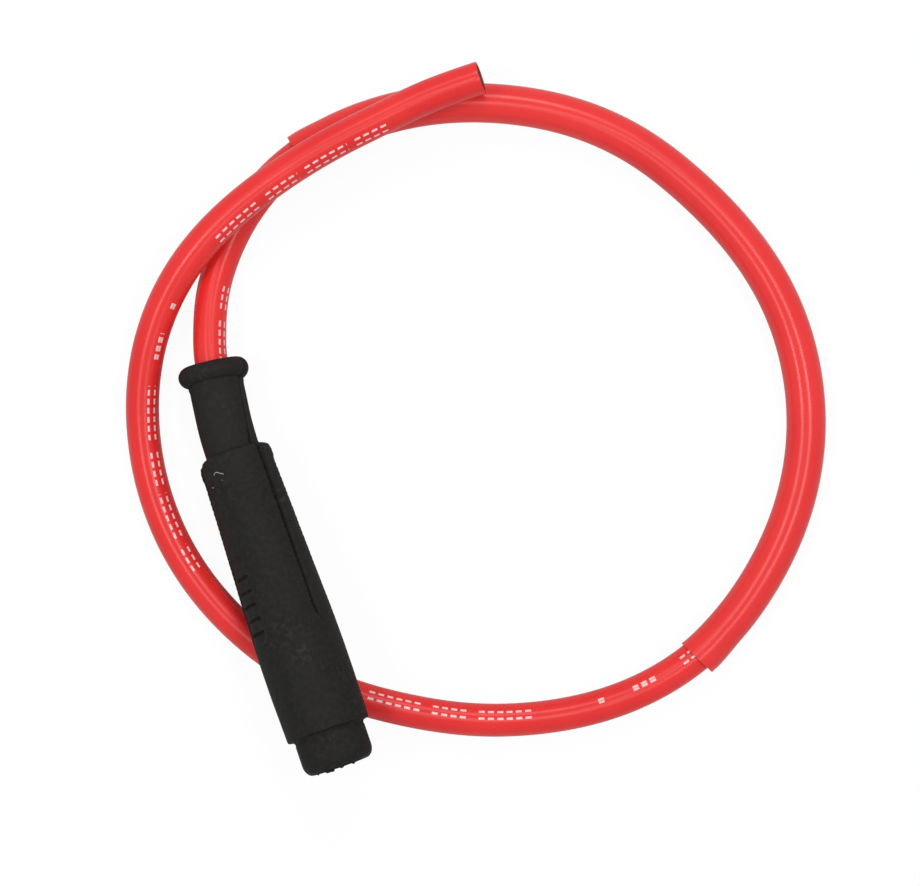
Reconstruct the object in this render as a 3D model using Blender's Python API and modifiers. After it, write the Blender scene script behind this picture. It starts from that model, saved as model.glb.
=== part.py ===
"""Spark plug cap with its high-tension lead, lying as it is laid down after use.

The cap is a rubber boot on a resin holder. The holder carries the plug socket with its retaining clip,
the contact spring, the resistor and the terminal that is screwed into the lead. The cap lies on its side:
its collar rests on the ground and its mouth end rests on the lead, which makes one loop under it and ends
across itself. Units are metres. The cap's pieces are drawn upright on their own axis, with z = 0 at the
mouth and z growing towards the lead, and an empty lays them down.
"""
import math

import bmesh
import bpy
import numpy as np
from mathutils import Matrix, Vector

# Clearances
GAP = 0.0003                  # between pieces that touch
LEAD_LIFT = 0.00005           # the lead lies this far above the ground plane

# Lead and the loose sleeve over part of it
LEAD_D = 0.0070
SLEEVE_SLACK = 0.00025        # between the lead and the sleeve, all round
SLEEVE_WALL = 0.0004
SLEEVE_D = LEAD_D + 2 * (SLEEVE_SLACK + SLEEVE_WALL)
SLEEVE_START = 0.0500         # along the lead, from the collar
SLEEVE_LENGTH = 0.2035
PILOT_R = 0.0014              # hole that the terminal's screw makes in the lead's core

# Boot, outside. Its length runs from the mouth to the collar's end, and its radius is at its widest place
CAP_LENGTH = 0.0890
BODY_R = 0.00906
BODY_WIDE_Z = 0.0235
BODY_MID_Z = 0.0430
BODY_MID_TAPER = 0.00048      # how much narrower it is at its middle
SHOULDER_TAPER = 0.00108      # at the shoulder
BASE_TAPER = 0.00022          # and where the skirt starts
SKIRT_STEP = 0.00132
SKIRT_LENGTH = 0.0075
LIP_LENGTH = 0.0022
LIP_FLAT = 0.0007             # width of the flat ring round the mouth
SHOULDER_ROUND = 0.0018       # of the ribs' upper corners
NECK_LENGTH = 0.0199          # from the shoulder to the collar's end
NECK_WALL = 0.00235
COLLAR_PROUD = 0.0015
COLLAR_LENGTH = 0.0046
NECK_BEND = math.radians(6.75)
NECK_BEND_LENGTH = 0.0080

# Side ribs: what the front and back reliefs leave standing
RELIEF_SHOULDER_DEPTH = 0.00087
RELIEF_NECK_DEPTH = 0.00025
RELIEF_ROUND = 0.0010
RELIEF_END_Z = 0.0320
RELIEF_END_STEP = 0.00012     # the relief is still this deep where it ends
RIB_HALF_LOW = 0.0035         # half the rib's thickness where the relief ends
RIB_HALF_HIGH = 0.0006        # and at the collar
RIB_GROOVE = 0.0005
CAP_ROLL = math.radians(-20)  # the cap lies rolled about its own axis
PAD_LENGTH = 0.0178
PAD_WIDTH = 0.0070
PAD_DEPTH = 0.00035
PAD_MID_Z = 0.0383
PAD_TURN = math.radians(-38)  # from the middle of the front relief

# Boot, inside, and the holder
MOUTH_BORE_R = 0.0054
MOUTH_DEPTH = 0.0120
HOLDER_R = 0.0064
HOLDER_STEP_Z = 0.0440
HOLDER_SLIM_WALL = 0.0009     # round the lead
HOLDER_TOP_DEPTH = 0.0013     # below the shoulder
LEAD_SEAT_DEPTH = 0.0060      # how far the lead goes into the holder
CHAMBER_SLACK = 0.00035       # round the resistor and the terminal

# Plug socket and clip
SOCKET_INSET = 0.0025         # from the holder's foot to the socket's mouth
SOCKET_R = 0.0045
SOCKET_BORE_R = 0.0034
SOCKET_LENGTH = 0.0120
SOCKET_FLOOR = 0.0023
BOSS_R = 0.0013
BOSS_LENGTH = 0.0013
CLIP_Z = 0.0040               # from the socket's mouth
CLIP_WIRE_R = 0.0003
CLIP_GROOVE_R = 0.0039
CLIP_LEG_X = 0.00325
CLIP_LEG_END = 0.0030

# Spring, resistor and terminal
SPRING_R = 0.0020
SPRING_WIRE_R = 0.0003
SPRING_TURNS = 5
SPRING_ROOM = 0.0077          # between the socket and the resistor
RESISTOR_R = 0.0022
CUP_WALL = 0.00025
CUP_DEPTH = 0.0040
CUP_FLOOR = 0.0012
TERMINAL_DISC = 0.0020
TERMINAL_NECK_R = 0.0018
TERMINAL_NECK_LENGTH = 0.0036
SCREW_R = 0.0011
SCREW_LENGTH = 0.0073

SIDES = 40                    # facets round the boot
HOLDER_SIDES = 32
INNER_SIDES = 24              # facets round the pieces inside
PILOT_SIDES = 12
COLLAR_STEPS = 9
NECK_STEPS = 8
SHOULDER_STEPS = 4
BODY_STEPS = 10
LIP_STEPS = 4
SPRING_TURN_STEPS = 10
CLIP_STEPS = 8
LEAD_STEPS = (6, 4, 14, 19)   # in the cap, up to the sleeve, along it, and to the cut end
RELIEF_ARC_END = 3            # degrees, so that the relief's last ring isn't level with the body's
WELD = 0.00001                # points closer than this are one

# Radii and heights that follow from these
NECK_R = LEAD_D / 2 + NECK_WALL
COLLAR_R = NECK_R + COLLAR_PROUD
BODY_MID_R = BODY_R - BODY_MID_TAPER
SHOULDER_R = BODY_R - SHOULDER_TAPER
SHOULDER_Z = CAP_LENGTH - NECK_LENGTH
BASE_R = BODY_R - BASE_TAPER
SKIRT_R = BASE_R - SKIRT_STEP
LIP_FLAT_R = MOUTH_BORE_R + LIP_FLAT
RELIEF_SHOULDER_R = SHOULDER_R - RELIEF_SHOULDER_DEPTH
RELIEF_NECK_R = NECK_R - RELIEF_NECK_DEPTH
LEAD_BORE_R = LEAD_D / 2 + GAP
HOLDER_SLIM_R = LEAD_BORE_R + HOLDER_SLIM_WALL
HOLDER_FOOT_Z = MOUTH_DEPTH + GAP
HOLDER_TOP_Z = SHOULDER_Z - HOLDER_TOP_DEPTH
LEAD_END_Z = HOLDER_TOP_Z - LEAD_SEAT_DEPTH
SOCKET_MOUTH_Z = MOUTH_DEPTH + SOCKET_INSET
SOCKET_TOP_Z = SOCKET_MOUTH_Z + SOCKET_LENGTH
CUP_R = RESISTOR_R + GAP + CUP_WALL
CHAMBER_R = CUP_R + CHAMBER_SLACK
TERMINAL_TOP_Z = LEAD_END_Z - GAP
TERMINAL_DISC_Z = TERMINAL_TOP_Z - TERMINAL_NECK_LENGTH
TERMINAL_FOOT_Z = TERMINAL_DISC_Z - TERMINAL_DISC
RESISTOR_START_Z = SOCKET_TOP_Z + SPRING_ROOM
RESISTOR_END_Z = TERMINAL_FOOT_Z - GAP

# The lead's free route, in millimetres: it leaves the collar, passes under its own end, makes one loop to
# the right, goes under the cap, rises over its own start and ends across the sleeve
LEAD_ROUTE_MM = (
    (3.7, 50.5, 6.0), (6.6, 57.3, 4.8), (11.5, 64.5, 3.8), (18.6, 71.4, 3.6), (27.1, 76.7, 4.1),
    (37.7, 80.3, 4.2), (51.0, 81.5, 4.2), (65.3, 79.6, 4.2), (78.9, 74.8, 4.2), (91.3, 67.5, 4.2),
    (101.8, 57.5, 4.2), (109.8, 45.3, 4.2), (115.9, 31.8, 4.2), (119.4, 16.9, 4.2), (119.0, 1.3, 4.2),
    (114.6, -13.9, 4.2), (106.3, -27.6, 4.2), (94.8, -39.0, 4.2), (82.2, -46.9, 4.2), (70.4, -50.8, 4.1),
    (55.7, -52.0, 3.6), (41.4, -49.9, 3.6), (27.9, -45.4, 3.6), (15.5, -38.8, 3.6), (4.1, -30.6, 3.6),
    (-5.6, -20.1, 3.6), (-13.0, -7.8, 3.6), (-17.7, 6.1, 3.6), (-19.0, 20.7, 3.6), (-16.8, 35.3, 4.0),
    (-11.1, 48.9, 5.8), (-2.9, 59.4, 8.2), (7.4, 67.3, 10.3), (19.0, 72.8, 11.1), (30.7, 76.3, 11.8),
    (42.3, 78.6, 12.3), (52.0, 79.8, 12.4), (63.2, 80.9, 12.8), (75.2, 80.8, 14.0),
)
NECK_ROUTE_STEP = 0.0045      # between the route's points inside the cap
CROSSING_Z = 0.0180           # along the cap, where it lies on the lead

# The cap leans with its mouth up: its underside touches the ground at the collar and the lead at the crossing
COLLAR_MID_Z = CAP_LENGTH - COLLAR_LENGTH / 2
REST_RISE = LEAD_D + LEAD_LIFT + GAP
REST_SPAN = COLLAR_MID_Z - CROSSING_Z
REST_FLARE = BODY_R - COLLAR_R
LEAN = math.asin(REST_RISE / math.hypot(REST_SPAN, REST_FLARE)) + math.atan2(REST_FLARE, REST_SPAN)
COLLAR_TUBE_R = COLLAR_LENGTH / 2
COLLAR_RING_R = COLLAR_R - COLLAR_TUBE_R
MOUTH_HEIGHT = COLLAR_RING_R * math.cos(LEAN) + COLLAR_TUBE_R + COLLAR_MID_Z * math.sin(LEAN)
FRONT_REACH = LIP_FLAT_R * math.sin(LEAN)
BACK_REACH = COLLAR_MID_Z * math.cos(LEAN) + COLLAR_TUBE_R + COLLAR_RING_R * math.sin(LEAN)
MOUTH_Y = (FRONT_REACH - BACK_REACH) / 2
CAP_TO_WORLD = (Matrix.Translation((0, MOUTH_Y, MOUTH_HEIGHT))
                @ Matrix.Rotation(-math.pi / 2 - LEAN, 4, "X"))


# Scene and materials
def clear_scene():
    """Remove every object that the scene holds."""
    for old in list(bpy.data.objects):
        bpy.data.objects.remove(old, do_unlink=True)


def new_collection(name):
    collection = bpy.data.collections.new(name)
    bpy.context.scene.collection.children.link(collection)
    return collection


def material(name, color, roughness, metallic=0.0):
    """A Principled material with the piece's own colour and finish."""
    made = bpy.data.materials.new(name)
    made.use_nodes = True
    shader = made.node_tree.nodes["Principled BSDF"]
    shader.inputs["Base Color"].default_value = (*color, 1.0)
    shader.inputs["Roughness"].default_value = roughness
    shader.inputs["Metallic"].default_value = metallic
    return made


def finish_piece(piece, surface, smooth_angle=35):
    """Give a piece its material and shade it smooth up to an edge angle."""
    piece.data.materials.append(surface)
    piece.data.shade_smooth()
    piece.data.set_sharp_from_angle(angle=math.radians(smooth_angle))


# Shapes
def arc(center_r, center_z, radius, start, end, steps):
    """Points (r, z) along a round stretch of a profile, with its angles in degrees."""
    return [(center_r + radius * math.cos(math.radians(start + (end - start) * i / steps)),
             center_z + radius * math.sin(math.radians(start + (end - start) * i / steps)))
            for i in range(steps + 1)]


def link(name, mesh, collection, parent=None):
    piece = bpy.data.objects.new(name, mesh)
    collection.objects.link(piece)
    piece.parent = parent
    return piece


def turned(name, profile, collection, parent=None, sides=INNER_SIDES, closed=True):
    """A turned body. The profile runs down the outer side; it closes on itself or ends on the axis."""
    mesh = bpy.data.meshes.new(name)
    edges = [(i, i + 1) for i in range(len(profile) - 1)]
    if closed:
        edges.append((len(profile) - 1, 0))
    mesh.from_pydata([(r, 0, z) for r, z in profile], edges, [])
    piece = link(name, mesh, collection, parent)
    screw = piece.modifiers.new("turn", "SCREW")
    screw.axis = "Z"
    screw.angle = math.tau
    screw.steps = sides
    screw.render_steps = sides
    screw.use_merge_vertices = True
    screw.merge_threshold = WELD
    return piece


def cut(piece, cutter):
    """Take the cutter's shape out of the piece."""
    modifier = piece.modifiers.new("cut " + cutter.name, "BOOLEAN")
    modifier.operation = "DIFFERENCE"
    modifier.solver = "EXACT"
    modifier.object = cutter


def as_cutter(piece):
    piece.hide_render = True
    piece.display_type = "WIRE"
    return piece


def evaluated_mesh(piece):
    bpy.context.view_layer.update()
    return bpy.data.meshes.new_from_object(piece.evaluated_get(bpy.context.evaluated_depsgraph_get()))


def box_cutter(name, size, place, turn_z, collection):
    """A box with its middle at place, turned about the axis that the cap's pieces share."""
    bpy.ops.mesh.primitive_cube_add(size=1)
    piece = bpy.context.object
    piece.name = name
    piece.data.transform(Matrix.Diagonal((*size, 1)))
    piece.data.transform(Matrix.Rotation(turn_z, 4, "Z") @ Matrix.Translation(place))
    for held in list(piece.users_collection):
        held.objects.unlink(piece)
    collection.objects.link(piece)
    return as_cutter(piece)


def smooth_curve(points):
    """A smooth curve through the points: returns its length and a function from distance to place."""
    knots = np.array(points, float)
    chords = np.linalg.norm(np.diff(knots, axis=0), axis=1)
    at = np.concatenate([[0.0], np.cumsum(chords)])
    count = len(at)
    system = np.zeros((count, count))
    pull = np.zeros((count, knots.shape[1]))
    system[0, 0] = system[-1, -1] = 1.0
    for i in range(1, count - 1):
        before, after = at[i] - at[i - 1], at[i + 1] - at[i]
        system[i, i - 1:i + 2] = before, 2 * (before + after), after
        pull[i] = 6 * ((knots[i + 1] - knots[i]) / after - (knots[i] - knots[i - 1]) / before)
    bend = np.linalg.solve(system, pull)

    def place(distance):
        i = min(max(int(np.searchsorted(at, distance)) - 1, 0), count - 2)
        span = at[i + 1] - at[i]
        left, right = at[i + 1] - distance, distance - at[i]
        return (bend[i] * left ** 3 / (6 * span) + bend[i + 1] * right ** 3 / (6 * span)
                + (knots[i] / span - bend[i] * span / 6) * left
                + (knots[i + 1] / span - bend[i + 1] * span / 6) * right)

    return at[-1], place


def bend_neck(co):
    """Move a point of the upright cap with the neck, which leans over from the shoulder on."""
    reach = co.z - SHOULDER_Z
    if reach <= 0:
        return co
    radius = NECK_BEND_LENGTH / NECK_BEND
    angle = min(reach, NECK_BEND_LENGTH) / radius
    middle_x = radius * (1 - math.cos(angle))
    middle_z = radius * math.sin(angle)
    straight = max(reach - NECK_BEND_LENGTH, 0)
    return Vector((middle_x + straight * math.sin(angle) + co.x * math.cos(angle),
                   co.y,
                   SHOULDER_Z + middle_z + straight * math.cos(angle) - co.x * math.sin(angle)))


# The boot's outline
def body_radius():
    """The boot's outer radius as a function of height, between the skirt and the shoulder."""
    knots = ((BASE_R, SKIRT_LENGTH), (BODY_R, BODY_WIDE_Z), (BODY_MID_R, BODY_MID_Z),
             (SHOULDER_R, SHOULDER_Z - SHOULDER_ROUND))
    length, place = smooth_curve(knots)
    samples = np.array([place(distance) for distance in np.linspace(0, length, 200)])
    return lambda z: float(np.interp(z, samples[:, 1], samples[:, 0]))


def relief_radius(z):
    """The radius of the front and back reliefs, which run out into the body at their lower end."""
    share = (SHOULDER_Z - z) / (SHOULDER_Z - RELIEF_END_Z)
    end_r = body_radius()(RELIEF_END_Z) - RELIEF_END_STEP
    return RELIEF_SHOULDER_R + (end_r - RELIEF_SHOULDER_R) * share


def rib_half(z):
    """Half the thickness of the side ribs, which taper from the relief's end to the collar."""
    share = (z - RELIEF_END_Z) / (COLLAR_MID_Z - RELIEF_END_Z)
    return RIB_HALF_LOW + (RIB_HALF_HIGH - RIB_HALF_LOW) * share


def neck_heights():
    """Heights down the neck, close enough for it to bend."""
    top = CAP_LENGTH - COLLAR_LENGTH
    foot = SHOULDER_Z + 2 * GAP
    return [top + (foot - top) * i / NECK_STEPS for i in range(NECK_STEPS + 1)]


def lip_profile():
    """The skirt's rounded lip, from its outside to the flat ring round the mouth."""
    points = []
    for i in range(LIP_STEPS + 1):
        angle = math.pi / 2 * i / LIP_STEPS
        points.append((LIP_FLAT_R + (SKIRT_R - LIP_FLAT_R) * math.cos(angle),
                       LIP_LENGTH * (1 - math.sin(angle))))
    return points


def boot_profile():
    """Down the outside from the collar to the mouth, then up the bore."""
    radius = body_radius()
    seat_r = HOLDER_R + GAP
    slim_r = HOLDER_SLIM_R + GAP
    collar_foot = -math.degrees(math.acos((NECK_R - COLLAR_RING_R) / COLLAR_TUBE_R))
    profile = [(LEAD_BORE_R + GAP, CAP_LENGTH)]
    profile += arc(COLLAR_RING_R, COLLAR_MID_Z, COLLAR_TUBE_R, 90, collar_foot, COLLAR_STEPS)
    profile += [(NECK_R, z) for z in neck_heights()]
    top, low = SHOULDER_Z - SHOULDER_ROUND, SKIRT_LENGTH + 2 * GAP
    profile += arc(SHOULDER_R - SHOULDER_ROUND, top, SHOULDER_ROUND, 90, 0, SHOULDER_STEPS)
    profile += [(radius(z), z) for z in np.linspace(top, low, BODY_STEPS + 1)[1:]]
    profile += [(BASE_R - GAP, SKIRT_LENGTH), (SKIRT_R + GAP, SKIRT_LENGTH), (SKIRT_R, SKIRT_LENGTH - GAP)]
    profile += lip_profile()
    profile += [(MOUTH_BORE_R + GAP / 2, 0), (MOUTH_BORE_R, GAP), (MOUTH_BORE_R, MOUTH_DEPTH)]
    profile += [(seat_r, MOUTH_DEPTH), (seat_r, HOLDER_STEP_Z + GAP), (slim_r, HOLDER_STEP_Z + GAP)]
    profile += [(slim_r, HOLDER_TOP_Z + GAP), (LEAD_BORE_R, HOLDER_TOP_Z + GAP)]
    profile += [(LEAD_BORE_R, z) for z in reversed(neck_heights())]
    profile += [(LEAD_BORE_R, CAP_LENGTH - GAP)]
    return profile


def relief_core(name, collection, lower_by=0.0):
    """The turned body that the reliefs, or the pad in one of them, leave standing, half a facet round."""
    top = CAP_LENGTH - COLLAR_LENGTH
    corner = min(RELIEF_ROUND, RELIEF_SHOULDER_R - RELIEF_NECK_R)
    profile = [(0, top), (RELIEF_NECK_R, top)] + [(RELIEF_NECK_R, z) for z in neck_heights()[1:]]
    profile += arc(RELIEF_SHOULDER_R - corner, SHOULDER_Z - corner, corner,
                   90, RELIEF_ARC_END, SHOULDER_STEPS)
    low = BODY_WIDE_Z
    radius = body_radius()
    for z in (PAD_MID_Z + PAD_LENGTH, PAD_MID_Z, RELIEF_END_Z):
        profile.append((relief_radius(z) - lower_by, z))
    if lower_by:
        profile.append((radius(low) - lower_by, low))
    else:
        profile += [(BODY_R + GAP, RELIEF_END_Z - GAP), (BODY_R + GAP, low)]
    profile.append((0, low))
    core = turned(name, profile, collection, sides=SIDES, closed=False)
    core.data.transform(Matrix.Rotation(math.pi / SIDES, 4, "Z"))
    return as_cutter(core)


def relief_cutter(turn, core, collection):
    """What is cut away on one side: all that lies beyond the ribs' faces and outside the core."""
    low, high = BODY_WIDE_Z + 2 * GAP, CAP_LENGTH - COLLAR_LENGTH - 2 * GAP
    far = 2 * BODY_R
    curve = bpy.data.curves.new("relief outline", "CURVE")
    curve.dimensions = "2D"
    curve.fill_mode = "BOTH"
    curve.extrude = far
    spline = curve.splines.new("POLY")
    corners = ((rib_half(low), low), (far, low), (far, high), (rib_half(high), high))
    spline.points.add(len(corners) - 1)
    for point, (x, y) in zip(spline.points, corners):
        point.co = (x, y, 0, 1)
    spline.use_cyclic_u = True
    outline = link("relief outline", curve, collection)
    mesh = evaluated_mesh(outline)
    bpy.data.objects.remove(outline)
    welded = bmesh.new()
    welded.from_mesh(mesh)
    bmesh.ops.remove_doubles(welded, verts=welded.verts, dist=WELD)
    welded.to_mesh(mesh)
    welded.free()
    stand = Matrix(((0, 0, 1, 0), (1, 0, 0, 0), (0, 1, 0, 0), (0, 0, 0, 1)))
    mesh.transform(Matrix.Rotation(turn, 4, "Z") @ stand)
    cutter = as_cutter(link("relief", mesh, collection))
    cut(cutter, core)
    return cutter


def groove_cutter(side, face, collection):
    """A fine groove along the foot of one rib's face, from the relief's end past the shoulder."""
    ends = []
    for z in (RELIEF_END_Z, SHOULDER_Z + RELIEF_ROUND):
        half = rib_half(z)
        ends.append(Vector((side * math.sqrt(relief_radius(z) ** 2 - half ** 2), face * half, z)))
    along = ends[1] - ends[0]
    bpy.ops.mesh.primitive_cube_add(size=1)
    piece = bpy.context.object
    piece.name = "groove"
    piece.data.transform(Matrix.Diagonal((RIB_GROOVE, RIB_GROOVE, along.length, 1)))
    lie = Matrix.Translation((ends[0] + ends[1]) / 2) @ along.to_track_quat("Z", "X").to_matrix().to_4x4()
    piece.data.transform(Matrix.Rotation(CAP_ROLL, 4, "Z") @ lie)
    for held in list(piece.users_collection):
        held.objects.unlink(piece)
    collection.objects.link(piece)
    return as_cutter(piece)


def rubber_boot(parts, cutters, axis):
    """The one-piece rubber moulding: turned, relieved front and back, then bent at the neck."""
    blank = as_cutter(turned("boot blank", boot_profile(), cutters, sides=SIDES))
    core = relief_core("relief core", cutters)
    for turn in (0, math.pi):
        cut(blank, relief_cutter(CAP_ROLL + turn, core, cutters))
    for side in (-1, 1):
        for face in (-1, 1):
            cut(blank, groove_cutter(side, face, cutters))
    pad_core = relief_core("pad core", cutters, PAD_DEPTH)
    pad = box_cutter("pad", (PAD_WIDTH, 2 * BODY_R, PAD_LENGTH), (0, -BODY_R - PAD_WIDTH / 2, PAD_MID_Z),
                     CAP_ROLL + PAD_TURN, cutters)
    cut(pad, pad_core)
    cut(blank, pad)
    mesh = evaluated_mesh(blank)
    for vertex in mesh.vertices:
        vertex.co = bend_neck(vertex.co)
    return link("rubber_boot", mesh, parts, axis)


# The pieces inside
def resin_holder(parts, axis):
    """The moulded insulator that holds the metal parts and the end of the lead."""
    socket_bore = max(SOCKET_R, CLIP_GROOVE_R + 2 * CLIP_WIRE_R + GAP) + GAP
    socket_seat = SOCKET_TOP_Z + GAP
    lead_seat = LEAD_END_Z - GAP
    profile = [(HOLDER_SLIM_R - GAP, HOLDER_TOP_Z), (HOLDER_SLIM_R, HOLDER_TOP_Z - GAP)]
    profile += [(HOLDER_SLIM_R, HOLDER_STEP_Z), (HOLDER_R - GAP, HOLDER_STEP_Z)]
    profile += [(HOLDER_R, HOLDER_STEP_Z - GAP), (HOLDER_R, HOLDER_FOOT_Z)]
    profile += [(socket_bore, HOLDER_FOOT_Z), (socket_bore, socket_seat)]
    profile += [(CHAMBER_R, socket_seat), (CHAMBER_R, lead_seat), (LEAD_BORE_R, lead_seat)]
    profile.append((LEAD_BORE_R, HOLDER_TOP_Z))
    return turned("resin_holder", profile, parts, axis, sides=HOLDER_SIDES)


def plug_socket(parts, cutters, axis):
    """The turned socket for the plug's terminal nut, with a groove and two windows for the clip."""
    mouth, top = SOCKET_MOUTH_Z, SOCKET_TOP_Z
    groove_half = CLIP_WIRE_R + GAP
    clip_z = mouth + CLIP_Z
    profile = [(0, top + BOSS_LENGTH), (BOSS_R, top + BOSS_LENGTH), (BOSS_R, top)]
    profile += [(SOCKET_R, top), (SOCKET_R, clip_z + groove_half), (CLIP_GROOVE_R, clip_z + groove_half)]
    profile += [(CLIP_GROOVE_R, clip_z - groove_half), (SOCKET_R, clip_z - groove_half)]
    profile += [(SOCKET_R, mouth), (SOCKET_BORE_R, mouth), (SOCKET_BORE_R, top - SOCKET_FLOOR)]
    profile += [(0, top - SOCKET_FLOOR)]
    socket = turned("plug_socket", profile, parts, axis, closed=False)
    window_x = CLIP_LEG_X - CLIP_WIRE_R - GAP / 3
    reach = SOCKET_R + GAP - window_x
    for side in (-1, 1):
        window = box_cutter("clip window", (reach, 2 * CLIP_LEG_END + 4 * GAP, 2 * groove_half - GAP / 2),
                            (side * (window_x + reach / 2), 0, clip_z), 0, cutters)
        window.parent = axis
        cut(socket, window)
    return socket


def poly_wire(name, points, radius, collection, parent=None, resolution=2, caps=True):
    """A round wire along the points, made a mesh with its caps welded."""
    curve = bpy.data.curves.new(name, "CURVE")
    curve.dimensions = "3D"
    curve.bevel_depth = radius
    curve.bevel_resolution = resolution
    curve.use_fill_caps = caps
    spline = curve.splines.new("POLY")
    spline.points.add(len(points) - 1)
    for point, place in zip(spline.points, points):
        point.co = (*place, 1)
    drawn = link(name + " line", curve, collection)
    mesh = evaluated_mesh(drawn)
    bpy.data.objects.remove(drawn)
    welded = bmesh.new()
    welded.from_mesh(mesh)
    bmesh.ops.remove_doubles(welded, verts=welded.verts, dist=WELD)
    bmesh.ops.recalc_face_normals(welded, faces=welded.faces)
    welded.to_mesh(mesh)
    welded.free()
    return link(name, mesh, collection, parent)


def retaining_clip(parts, axis):
    """A hairpin of spring wire in the socket's groove. Its legs pass the windows and grip the nut."""
    z = SOCKET_MOUTH_Z + CLIP_Z
    back_r = CLIP_GROOVE_R + GAP + CLIP_WIRE_R
    start = math.acos(CLIP_LEG_X / back_r)
    points = [(CLIP_LEG_X, CLIP_LEG_END, z)]
    for i in range(CLIP_STEPS + 1):
        angle = -start - (math.pi - 2 * start) * i / CLIP_STEPS
        points.append((back_r * math.cos(angle), back_r * math.sin(angle), z))
    points.append((-CLIP_LEG_X, CLIP_LEG_END, z))
    return poly_wire("retaining_clip", points, CLIP_WIRE_R, parts, axis)


def contact_spring(parts, axis):
    """The coil spring between the socket and the resistor."""
    low = SOCKET_TOP_Z + GAP + SPRING_WIRE_R
    high = RESISTOR_START_Z - GAP - SPRING_WIRE_R
    steps = SPRING_TURN_STEPS * SPRING_TURNS
    points = []
    for i in range(steps + 1):
        angle = math.tau * SPRING_TURNS * i / steps
        height = low + (high - low) * i / steps
        points.append((SPRING_R * math.cos(angle), SPRING_R * math.sin(angle), height))
    return poly_wire("contact_spring", points, SPRING_WIRE_R, parts, axis)


def resistor(parts, axis):
    """A ceramic rod with a metal cup pressed over each end."""
    low, high = RESISTOR_START_Z, RESISTOR_END_Z
    rod_low, rod_high = low + CUP_FLOOR + GAP, high - CUP_FLOOR - GAP
    rod = turned("resistor_rod", [(0, rod_high), (RESISTOR_R, rod_high), (RESISTOR_R, rod_low), (0, rod_low)],
                 parts, axis, closed=False)
    inner = RESISTOR_R + GAP
    lower = [(0, low + CUP_FLOOR), (inner, low + CUP_FLOOR), (inner, low + CUP_DEPTH)]
    lower += [(CUP_R, low + CUP_DEPTH), (CUP_R, low), (0, low)]
    upper = [(0, high), (CUP_R, high), (CUP_R, high - CUP_DEPTH), (inner, high - CUP_DEPTH)]
    upper += [(inner, high - CUP_FLOOR), (0, high - CUP_FLOOR)]
    cup_low = turned("resistor_cap_lower", lower, parts, axis, closed=False)
    cup_high = turned("resistor_cap_upper", upper, parts, axis, closed=False)
    return rod, cup_low, cup_high


def wire_terminal(parts, axis):
    """The contact disc with the pointed screw that holds the lead."""
    tip = TERMINAL_TOP_Z + SCREW_LENGTH
    profile = [(0, tip), (SCREW_R, tip - 2 * SCREW_R), (SCREW_R, TERMINAL_TOP_Z)]
    profile += [(TERMINAL_NECK_R, TERMINAL_TOP_Z), (TERMINAL_NECK_R, TERMINAL_DISC_Z)]
    profile += [(CUP_R, TERMINAL_DISC_Z), (CUP_R, TERMINAL_FOOT_Z), (0, TERMINAL_FOOT_Z)]
    return turned("wire_terminal", profile, parts, axis, closed=False)


# The lead and its sleeve
def lead_curve():
    """The lead's whole line: up the bent neck, then along its free route."""
    steps = round((CAP_LENGTH - LEAD_END_Z) / NECK_ROUTE_STEP)
    heights = [LEAD_END_Z + (CAP_LENGTH - LEAD_END_Z) * i / steps for i in range(steps + 1)]
    inside = [CAP_TO_WORLD @ bend_neck(Vector((0, 0, z))) for z in heights]
    free = [Vector(place) / 1000 for place in LEAD_ROUTE_MM]
    return smooth_curve([tuple(place) for place in inside + free])


def lead_stations(length):
    """Distances along the lead for its drawn points, and the two that the sleeve starts and ends at."""
    inside = CAP_LENGTH - LEAD_END_Z
    start = inside + SLEEVE_START
    marks = (0, inside, start, start + SLEEVE_LENGTH, length)
    distances = [0.0]
    for low, high, count in zip(marks, marks[1:], LEAD_STEPS):
        distances += [low + (high - low) * (i + 1) / count for i in range(count)]
    return distances, sum(LEAD_STEPS[:2]), sum(LEAD_STEPS[:3])


def ht_lead(parts, cutters, line, stations):
    """The lead as one plain tube, with the hole that the terminal's screw makes in its end."""
    points = [line(distance) for distance in stations]
    lead = poly_wire("ht_lead", points, LEAD_D / 2, parts, resolution=4)
    bpy.ops.mesh.primitive_cylinder_add(vertices=PILOT_SIDES, radius=PILOT_R, depth=2 * (SCREW_LENGTH + GAP))
    pilot = bpy.context.object
    pilot.name = "pilot hole"
    pilot.matrix_world = CAP_TO_WORLD @ Matrix.Translation((0, 0, LEAD_END_Z))
    for held in list(pilot.users_collection):
        held.objects.unlink(pilot)
    cutters.objects.link(pilot)
    cut(lead, as_cutter(pilot))
    return lead


def lead_sleeve(parts, line, stations):
    """The thin loose sleeve: an open tube given its wall inwards."""
    points = [line(distance) for distance in stations]
    sleeve = poly_wire("lead_sleeve", points, SLEEVE_D / 2, parts, resolution=4, caps=False)
    wall = sleeve.modifiers.new("wall", "SOLIDIFY")
    wall.thickness = SLEEVE_WALL
    wall.offset = -1
    wall.use_even_offset = True
    return sleeve


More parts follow.
